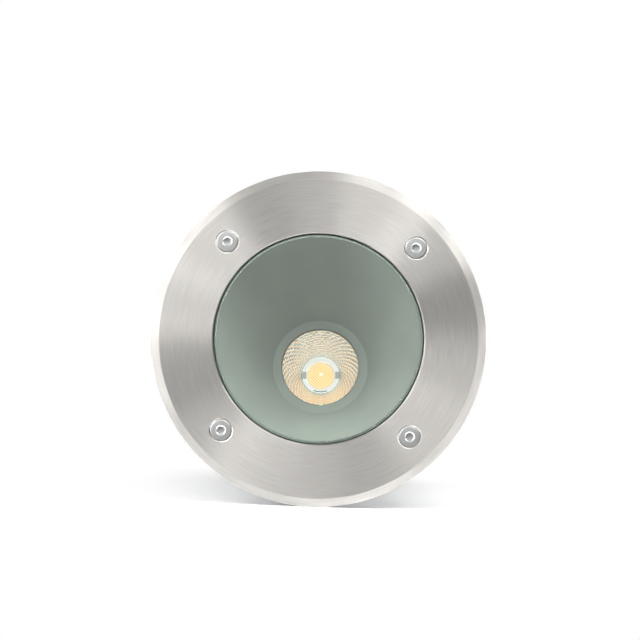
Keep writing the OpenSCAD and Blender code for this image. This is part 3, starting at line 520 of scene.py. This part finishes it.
# ---- trim screws: a low dome, a hex socket with a chamfered mouth, a cone and a threaded shank
screw = {
    "top": 5.65, "domeDrop": 0.3, "domeSteps": 9, "head": 5.95, "rim": 0.65, "rimDrop": 0.75, "rimSteps": 5,
    "flats": 4.0, "chamfer": 2.75, "socketDepth": 1.3, "drillDepth": 1.0, "shank": 3.0, "threadDepth": 0.5,
    "pitch": 1.0, "threadSteps": 6, "plain": 0.8, "length": 17, "point": 0.6, "pointDepth": 0.7, "sides": 96,
    "turns": (0.2, 0.9, 0.5, 0.35),
}


def hexReach(angle, flats):
    # distance from a hexagon's middle to its edge in each direction
    return flats / 2 / np.cos((angle + math.pi / 6) % (math.pi / 3) - math.pi / 6)


def trimScrew(centre, turn):
    # rows of radius and height over the angle, from the socket's foot out over the dome and down the shank
    angle = 2 * math.pi * np.arange(screw["sides"]) / screw["sides"]
    ones = np.ones_like(angle)
    wall = hexReach(angle + turn, screw["flats"])
    floor = screw["top"] - screw["socketDepth"]
    rows = [(0 * ones, (floor - screw["drillDepth"]) * ones), (0.98 * wall.min() * ones, floor * ones),
            (wall, floor * ones), (wall, screw["top"] - screw["chamfer"] + wall - 0.02)]
    dome = np.linspace(screw["chamfer"], screw["head"] - screw["rim"], screw["domeSteps"])
    drop = screw["domeDrop"] * (dome / screw["head"]) ** 2
    rows += [(r * ones, (screw["top"] - d) * ones) for r, d in zip(dome, drop)]
    edge = np.linspace(0, math.pi / 2, screw["rimSteps"])[1:]
    rows += [((screw["head"] - screw["rim"] * (1 - math.sin(a))) * ones,
              (screw["top"] - screw["domeDrop"] - screw["rimDrop"] * (1 - math.cos(a))) * ones)
             for a in edge]
    neck = rows[-1][1][0] - (screw["head"] - screw["shank"])
    rows.append((screw["shank"] * ones, neck * ones))
    low = screw["top"] - screw["length"]
    height = np.linspace(neck - screw["plain"], low + screw["point"],
                         int((neck - low) / screw["pitch"] * screw["threadSteps"]))
    phase = height[:, None] / screw["pitch"] + angle / (2 * math.pi)
    depth = screw["threadDepth"] * np.abs(2 * (phase % 1) - 1)
    rows += [(screw["shank"] - d, h * ones) for d, h in zip(depth, height)]
    rows += [((screw["shank"] - screw["pointDepth"]) * ones, low * ones), (0 * ones, low * ones)]
    radius, height = np.array([r for r, h in rows]), np.array([h for r, h in rows])
    points = np.stack([centre[0] + radius * np.cos(angle), centre[1] + radius * np.sin(angle), height], -1)
    return points.reshape(-1, 3), gridFaces(len(rows), screw["sides"], False)


screwMesh = makeMesh("trim_screws_turned", *joined([
    trimScrew(centre, turn) for centre, turn in zip(screwCentres, screw["turns"])]), crease=32)
addPiece("trim_screws_turned", screwMesh, "luminaire", "screw_stainless", ["trim_screws"])
print("trim screws ready")

# ---- glass: a flat disc with a shoulder, its top edge ground to a chamfer
glass = {
    "low": -6.5, "shoulderTop": 0.5, "top": 5.3, "shoulder": 64, "outer": 55.5, "chamfer": 0.6, "sides": 240,
}
bevelStart = glass["outer"] - glass["chamfer"]
glassProfile = softened([
    [0, glass["low"]], [glass["shoulder"] - 0.8, glass["low"]],  # points near a corner keep the flats flat
    [glass["shoulder"], glass["low"]], [glass["shoulder"], glass["shoulderTop"]],
    [glass["outer"], glass["shoulderTop"]], [glass["outer"], glass["top"] - glass["chamfer"]],
    [bevelStart, glass["top"]], [bevelStart - 0.4, glass["top"]], [0, glass["top"]],
], [0, 0, 0.4, 0.4, 0.3, 0.15, 0.15, 0, 0])
glassMesh = makeMesh("glass_lens_ground", *turned(glassProfile, glass["sides"]), crease=28)
addPiece("glass_lens_ground", glassMesh, "luminaire", "green_glass", ["glass_lens"])
# the ground chamfer itself, a thin ring just proud of the clear glass
edgeProfile = softened([
    [bevelStart - 0.35, glass["top"] - 0.3], [glass["outer"] - 0.35, glass["top"] - glass["chamfer"] - 0.3],
    [glass["outer"] + 0.02, glass["top"] - glass["chamfer"] - 0.1], [bevelStart - 0.1, glass["top"] + 0.02],
], 0.05)
edgeMesh = makeMesh("glass_edge_ground", *turned(edgeProfile, glass["sides"]), crease=40)
addPiece("glass_edge_ground", edgeMesh, "luminaire", "green_glass", material=groundGlass())
# the lip of the glazing seal, seen in the gap between the glass and the trim
lip = {"inner": glass["outer"] + 0.4, "outer": trim["opening"] - 0.2, "low": 0.8, "top": 3.6}
lipProfile = softened([
    [lip["inner"], lip["low"]], [lip["outer"], lip["low"]], [lip["outer"], lip["top"]],
    [lip["inner"], lip["top"]],
], 0.2)
lipMesh = makeMesh("glass_gasket_lip", *turned(lipProfile, glass["sides"]), crease=40)
addPiece("glass_gasket_lip", lipMesh, "luminaire", "seal_rubber",
         material=rubber("grey glazing rubber", "#2C322E", "#363D38"))
print("glass ready")

# ---- bezel: a spun cone from a level circle to the tilted ledge round the light hole
bezel = {
    "top": -9, "radius": 56, "wall": 1.6, "flange": 59.2, "flangeThick": 1.2, "ledge": 26.5, "hole": 21.9,
    "ledgeThick": 1.5, "sides": 240, "coneRows": 14,
    "bossRadius": 4, "bossHole": 1.5, "bossLow": -36, "bossTop": -15, "bossSunk": 1.2, "bossFit": 7,
    "posts": [[38.4, 6.2], [-38.4, 6.2], [0, -49.5]],
}
bezelAngle = 2 * math.pi * np.arange(bezel["sides"]) / bezel["sides"]


def levelCircle(radius, height):
    return aimed(np.stack([radius * np.cos(bezelAngle), radius * np.sin(bezelAngle),
                           height + 0 * bezelAngle], -1))


def leaningCircle(radius, height):
    return tilted(np.stack([radius * np.cos(bezelAngle), radius * np.sin(bezelAngle),
                            height + 0 * bezelAngle], -1))


# straight lines between the two circles make the cone, inside and outside
share = np.linspace(0, 1, bezel["coneRows"])[:, None, None]
innerCone = ((1 - share) * levelCircle(bezel["radius"], bezel["top"])
             + share * leaningCircle(bezel["ledge"], 0))
outerTop = levelCircle(bezel["radius"] + bezel["wall"], bezel["top"] - bezel["flangeThick"])
outerFoot = leaningCircle(bezel["ledge"] + bezel["wall"], -bezel["ledgeThick"])
corners = np.concatenate([
    innerCone, leaningCircle(bezel["ledge"] - 0.8, 0)[None], leaningCircle(bezel["hole"] + 0.5, 0)[None],
    leaningCircle(bezel["hole"], 0)[None], leaningCircle(bezel["hole"], -bezel["ledgeThick"])[None],
    outerFoot[None], outerTop[None],
    levelCircle(bezel["flange"], bezel["top"] - bezel["flangeThick"])[None],
    levelCircle(bezel["flange"], bezel["top"])[None],
])
bezelReach = [0.3] + [0.4] * (bezel["coneRows"] - 2) + [0.4, 0, 0, 0.15, 0.2, 0.5, 0.2, 0.2, 0.2]
bezelPath = softened(corners, bezelReach)
bossProfile = softened([
    [bezel["bossHole"], bezel["bossLow"]], [bezel["bossRadius"], bezel["bossLow"]],
    [bezel["bossRadius"], bezel["bossTop"]], [bezel["bossHole"], bezel["bossTop"]],
], 0.15)
bosses = []
for x, y in bezel["posts"]:
    # each boss ends inside the cone's wall, on the plane that fits the cone best over the boss
    bossPoints, bossFaces = turned(bossProfile, 40, (x, y))
    bossPoints = aimed(bossPoints)
    middle = aimed(np.array([x, y, 0.0]))[:2]
    cone = innerCone.reshape(-1, 3)
    cone = cone[np.linalg.norm(cone[:, :2] - middle, axis=1) < bezel["bossFit"]]
    plane = np.linalg.lstsq(np.c_[cone[:, :2] - middle, np.ones(len(cone))], cone[:, 2], rcond=None)[0]
    coneHeight = (bossPoints[:, :2] - middle) @ plane[:2] + plane[2] - bezel["bossSunk"]
    bossPoints[:, 2] = np.minimum(bossPoints[:, 2], coneHeight)
    bosses.append((bossPoints, bossFaces))
bezelMesh = makeMesh("bezel_spun", *joined([
    (bezelPath.reshape(-1, 3), gridFaces(len(bezelPath), bezel["sides"])), *bosses]), crease=40)
addPiece("bezel_spun", bezelMesh, "optic", "bezel_paint", ["anti_glare_bezel"])
print("bezel ready")

# ---- reflector: a paraboloid of staggered diamond facets, each bulging inwards like a small pillow:
# with p and q from -1 to 1 across and up a facet, it stands bulge * (1 - p^2 - q^2) proud of the paraboloid
reflector = {
    "top": -1.55, "low": -22, "mouth": 22.3, "foot": 11.5, "wall": 0.9, "across": 41, "rows": 13,
    "growth": 1.45, "bulge": 0.42, "facetSteps": 6, "flange": 25.4, "flangeThick": 0.3, "flangeReach": 0.4,
}


def reflectorPoint(turn, up):
    # radius squared grows evenly with height; `up` goes from 0 at the foot to 1 at the mouth
    height = reflector["low"] + up * (reflector["top"] - reflector["low"])
    radius = np.sqrt(reflector["foot"] ** 2 + up * (reflector["mouth"] ** 2 - reflector["foot"] ** 2))
    angle = 2 * math.pi * turn / reflector["across"]
    return np.stack([radius * np.cos(angle), radius * np.sin(angle), height], -1)


def facetLevel(facetRow):
    # rows grow taller towards the mouth: (row / rows) ^ growth
    return (facetRow / reflector["rows"]) ** reflector["growth"]


def spread(facetCorner):
    return facetCorner[:, None, None, :]


# corners of every facet: foot, right, head and left; the first and last rows are halves
row, column = np.meshgrid(np.arange(-1, reflector["rows"]), np.arange(reflector["across"]), indexing="ij")
row, column = row.reshape(-1), column.reshape(-1)
middle = column + 0.5 * (row % 2)
lowRow, highRow = np.maximum(row, 0), np.minimum(row + 2, reflector["rows"])
sideRow = np.clip(row + 1, 0, reflector["rows"])
footCorner = reflectorPoint(middle, facetLevel(lowRow))
headCorner = reflectorPoint(middle, facetLevel(highRow))
rightCorner = reflectorPoint(middle + 0.5, facetLevel(sideRow))
leftCorner = reflectorPoint(middle - 0.5, facetLevel(sideRow))
footCorner = np.where((row < 0)[:, None], (rightCorner + leftCorner) / 2, footCorner)
headCorner = np.where((row + 2 > reflector["rows"])[:, None], (rightCorner + leftCorner) / 2, headCorner)
n = reflector["facetSteps"]
u, v = np.meshgrid(np.linspace(0, 1, n + 1), np.linspace(0, 1, n + 1), indexing="ij")
u, v = u[None, ..., None], v[None, ..., None]
facets = ((1 - u) * (1 - v) * spread(footCorner) + u * (1 - v) * spread(rightCorner)
          + u * v * spread(headCorner) + (1 - u) * v * spread(leftCorner))
inward = np.cross(rightCorner - leftCorner, headCorner - footCorner)
inward = inward / np.linalg.norm(inward, axis=-1, keepdims=True)
inward = inward * np.where((inward * footCorner)[:, :2].sum(-1) > 0, -1, 1)[:, None]
p = u - v
q = (u * v * np.where(row + 2 > reflector["rows"], 0, 1)[:, None, None, None]
     - (1 - u) * (1 - v) * np.where(row < 0, 0, 1)[:, None, None, None])
facets = facets + reflector["bulge"] * (1 - p ** 2 - q ** 2) * spread(inward)
i, j = np.meshgrid(np.arange(n), np.arange(n), indexing="ij")
corner = (i * (n + 1) + j).reshape(-1)
cell = np.stack([corner, corner + n + 1, corner + n + 2, corner + 1], -1)
cells = (cell[None] + (np.arange(len(facets)) * (n + 1) ** 2)[:, None, None]).reshape(-1, 4)
liner = makeMesh("liner", tilted(facets.reshape(-1, 3)), cells, crease=12, recalculate=False)
linerPiece = bpy.data.objects.new("liner", liner)
bpy.context.collection.objects.link(linerPiece)
thicken = linerPiece.modifiers.new("wall", "SOLIDIFY")
thicken.thickness = reflector["wall"] * mm
thicken.offset = -1
bpy.context.view_layer.update()
thickLiner = linerPiece.evaluated_get(bpy.context.evaluated_depsgraph_get())
reflectorMesh = bpy.data.meshes.new_from_object(thickLiner)
bpy.data.objects.remove(linerPiece)
creased(reflectorMesh, 12)
addPiece("reflector_facets", reflectorMesh, "optic", "reflector_coating", ["reflector"])
# the flange that the facets end in, uncoated, reaching a little over their rim
flangeInner = reflector["mouth"] - reflector["flangeReach"]
flangeLow = reflector["top"] - reflector["flangeThick"]
flangeProfile = softened([
    [flangeInner, flangeLow], [reflector["flange"], flangeLow], [reflector["flange"], reflector["top"]],
    [flangeInner, reflector["top"]],
], [0.04, 0.1, 0.1, 0.04])
flangePoints, flangeFaces = turned(flangeProfile, 144)
addPiece("reflector_flange", makeMesh("reflector_flange", tilted(flangePoints), flangeFaces, crease=40),
         "optic", "reflector_coating",
         material=mouldedPlastic("bare polycarbonate flange", "#8B938F", "#969E99", 0.45, 0.7, 0.01))
print("reflector ready,", len(reflectorMesh.polygons), "faces")

# ---- emitter: a shallow dome of gel on the light emitting board
emitter = {
    "radius": 7.25, "low": -23.6, "edge": -23.05, "edgeRound": 0.15, "dome": 0.25, "domeSteps": 14,
    "sides": 96,
}
domeRadius = np.linspace(emitter["radius"] - emitter["edgeRound"], 0, emitter["domeSteps"])
domeHeight = emitter["edge"] + emitter["dome"] * (1 - (domeRadius / emitter["radius"]) ** 2)
emitterProfile = np.concatenate([
    [[0, emitter["low"]], [emitter["radius"], emitter["low"]], [emitter["radius"], emitter["edge"] - 0.1]],
    np.stack([domeRadius, domeHeight], -1),
])
emitterPoints, emitterFaces = turned(emitterProfile, emitter["sides"])
emitterCentre = (tilted(np.array([[0, 0, emitter["edge"]]])) * mm)[0].tolist()
addPiece("emitter_gel", makeMesh("emitter_gel", tilted(emitterPoints), emitterFaces, crease=40), "optic",
         "phosphor_gel", ["led_emitter"], phosphorGel(emitterCentre))
print("emitter ready")

# ---- the curved slot in the holder's face where a lens would clip in, drawn as a thin dark grey strip whose colour is painted shade: an arc, x = r cos a, y = r sin a
slot = {"radius": 9.6, "width": 0.5, "height": -21.47, "depth": 0.2, "from": -118, "to": -72, "steps": 24}
slotAngle = np.radians(np.linspace(slot["from"], slot["to"], slot["steps"]))
slotInner, slotOuter = slot["radius"] - slot["width"] / 2, slot["radius"] + slot["width"] / 2
slotFoot = slot["height"] - slot["depth"]
slotRing = np.array([
    [slotInner, slotFoot], [slotOuter, slotFoot], [slotOuter, slot["height"]], [slotInner, slot["height"]],
])
slotPoints = np.stack([
    slotRing[None, :, 0] * np.cos(slotAngle)[:, None], slotRing[None, :, 0] * np.sin(slotAngle)[:, None],
    slotRing[None, :, 1] + 0 * slotAngle[:, None],
], -1)
slotFaces = [(4 * i + j, 4 * i + (j + 1) % 4, 4 * i + 4 + (j + 1) % 4, 4 * i + 4 + j)
             for i in range(slot["steps"] - 1) for j in range(4)]
slotFaces += [(3, 2, 1, 0), tuple(4 * (slot["steps"] - 1) + j for j in range(4))]
slotMesh = makeMesh("holder_clip_slot_painted_shade", tilted(slotPoints.reshape(-1, 3)), np.array(slotFaces), crease=30)
# the strip's dark grey is painted shade for the slot's depth, not the white holder's own colour
addPiece("holder_clip_slot_painted_shade", slotMesh, "optic", "holder_plastic",
         material=mouldedPlastic("painted shade in the clip slot", "#3C4448", "#464E52", 0.6, 0.6, 0.01))
print("clip slot ready")

# ---- every CAD node that still shows gets the finish of its slot
slotOf = {part["node"]: part["material_slot"] for part in frame["record"]["subparts"]}
for name, node in frame["nodes"].items():
    if slotOf[name] in finishes:
        for holder in node.material_slots:
            holder.material = finishes[slotOf[name]]
print("CAD nodes finished")

# ---- floor, world and lamps: the lamp stands on the edge of its trim on a white table
floor = {
    "height": -90.3, "halfWidth": 1500, "front": 900, "back": -2500, "white": 1.3,
    "fadeAcross": 200, "fadeAlong": 1200,  # mm, the half axes of the ellipse that the fade follows
    "fadeFrom": 0.2, "fadeTo": 0.6,  # shares of that ellipse
}
floorMesh = bpy.data.meshes.new("floor")
floorMesh.from_pydata([
    (-floor["halfWidth"] * mm, floor["height"] * mm, floor["front"] * mm),
    (floor["halfWidth"] * mm, floor["height"] * mm, floor["front"] * mm),
    (floor["halfWidth"] * mm, floor["height"] * mm, floor["back"] * mm),
    (-floor["halfWidth"] * mm, floor["height"] * mm, floor["back"] * mm),
], [], [(0, 1, 2, 3)])
floorPiece = bpy.data.objects.new("floor", floorMesh)
bpy.context.collection.objects.link(floorPiece)
# white laminate: an even white that only shows shadows; it doesn't hide the lamp from behind or below.
# Its colour is above 1 because the photograph's white is overexposed, and it fades into the white backdrop
floorMaterial, floorTree, floorShader, floorPlace = startMaterial("white laminate")
floorTree.nodes.remove(floorShader)
floorShader = addNode(floorTree, "ShaderNodeBsdfDiffuse", {"Color": (floor["white"],) * 3 + (1,)})
ellipse = addNode(floorTree, "ShaderNodeMapping", {
    "Vector": floorPlace,
    "Scale": (1 / (floor["fadeAcross"] * mm), 0, 1 / (floor["fadeAlong"] * mm)),
}).outputs[0]
away = addNode(floorTree, "ShaderNodeVectorMath", {0: ellipse}, operation="LENGTH").outputs["Value"]
fade = addNode(floorTree, "ShaderNodeMapRange", {
    "Value": away, "From Min": floor["fadeFrom"], "From Max": floor["fadeTo"],
}, interpolation_type="SMOOTHSTEP").outputs["Result"]
backWhite = addNode(floorTree, "ShaderNodeEmission", {"Color": (1, 1, 1, 1), "Strength": 1.0})
floorShader = addNode(floorTree, "ShaderNodeMixShader", {
    0: fade, 1: floorShader.outputs[0], 2: backWhite.outputs[0]})
oneSided = addNode(floorTree, "ShaderNodeMixShader", {
    0: addNode(floorTree, "ShaderNodeNewGeometry").outputs["Backfacing"], 1: floorShader.outputs[0],
    2: addNode(floorTree, "ShaderNodeBsdfTransparent").outputs[0],
})
floorOutput = next(node for node in floorTree.nodes if node.type == "OUTPUT_MATERIAL")
floorTree.links.new(oneSided.outputs[0], floorOutput.inputs["Surface"])
floorMesh.materials.append(floorMaterial)
floorPiece.visible_shadow = False
floorPiece.visible_diffuse = False
floorPiece.visible_glossy = False
floorPiece.visible_transmission = False

# the studio: a white ceiling over nearly black walls, and plain white where the camera sees past the lamp
studio = {
    "walls": 0.02, "ceiling": 0.5,
    "ceilingFrom": 64, "ceilingTo": 72,  # degrees of elevation
}
world = bpy.data.worlds.new("studio")
bpy.context.scene.world = world
world.use_nodes = True
worldTree = world.node_tree
worldTree.nodes.clear()
backdrop = addNode(worldTree, "ShaderNodeBackground", {"Color": (1, 1, 1, 1), "Strength": 1.0})
upward = addNode(worldTree, "ShaderNodeSeparateXYZ", {
    0: addNode(worldTree, "ShaderNodeTexCoord").outputs["Generated"]}).outputs["Z"]
strength = addNode(worldTree, "ShaderNodeMapRange", {
    "Value": upward, "From Min": math.sin(math.radians(studio["ceilingFrom"])),
    "From Max": math.sin(math.radians(studio["ceilingTo"])), "To Min": studio["walls"],
    "To Max": studio["ceiling"]}).outputs["Result"]
fill = addNode(worldTree, "ShaderNodeBackground", {"Color": (1, 1, 1, 1), "Strength": strength})
seen = addNode(worldTree, "ShaderNodeMixShader", {
    0: addNode(worldTree, "ShaderNodeLightPath").outputs["Is Camera Ray"],
    1: fill.outputs[0], 2: backdrop.outputs[0],
})
addNode(worldTree, "ShaderNodeOutputWorld", {"Surface": seen.outputs[0]})

# rings of softboxes. rim and edge light the bevel; low, middle and high make the fans on the trim and light
# the cone; near adds to the left side; flash is the glint on the emitter and spark the white spots on the
# facets; under is for the views from below
softboxes = {
    # elevation and distance of a ring, width and height of its boxes in mm, then watts at each azimuth
    "rim": (5, 1500, 560, 400, {
        15: 2.0, 35: 0.8, 115: 2, 195: 5.5, 215: 6.5, 235: 5.5,
        255: 7.5, 275: 6.8, 295: 6.8, 315: 7, 335: 4.5, 355: 2.5,
    }),
    "edge": (-8, 1500, 560, 400, {15: 4.0, 195: 1.5, 215: 1.5, 235: 1.2, 315: 1.5, 335: 5.0, 355: 7.0}),
    "near": (16, 330, 120, 120, {155: 0.1, 175: 0.2, 195: 0.08, 275: 0.07, 295: 0.08}),
    "low": (14, 1500, 400, 500, {35: 7.0, 135: 0.8, 155: 2.0, 175: 0.8, 235: 0.6}),
    "middle": (30, 1500, 400, 500, {
        55: 6.6, 75: 6.0, 95: 1.6, 115: 0.6, 135: 5.6, 155: 4.9, 175: 2.7, 195: 0.6,
    }),
    "high": (54, 1500, 330, 500, {55: 1.4, 115: 0.5, 135: 0.9, 155: 0.4, 175: 0.9, 235: 0.4}),
    "flash": (63, 1500, 80, 80, {95: 0.7}),
    "spark": (74, 1500, 120, 120, {30: 0.15, 90: 0.2, 150: 0.2, 210: 0.15, 270: 0.15, 330: 0.15}),
    "under": (-50, 1500, 900, 900, {270: 14}),
}
roundUnder = 200  # mm, the width under which a softbox is a round one
for ring, (elevation, distance, width, height, watts) in softboxes.items():
    for azimuth, power in watts.items():
        lamp = bpy.data.lights.new(f"{ring}{azimuth}", "AREA")
        lamp.shape = "ELLIPSE" if width < roundUnder else "RECTANGLE"
        lamp.size = width * mm
        lamp.size_y = height * mm
        lamp.energy = power
        box = bpy.data.objects.new(lamp.name, lamp)
        a, e = math.radians(azimuth), math.radians(elevation)
        box.location = (mm * distance * math.cos(a) * math.cos(e), mm * distance * math.sin(a) * math.cos(e),
                        mm * distance * math.sin(e))
        box.rotation_euler = box.location.to_track_quat("Z", "Y").to_euler()
        bpy.context.collection.objects.link(box)

settings = bpy.context.scene.view_settings
settings.view_transform = "Standard"
settings.look = "None"
settings.exposure = 0
settings.gamma = 1
print("floor, world and lamps ready")
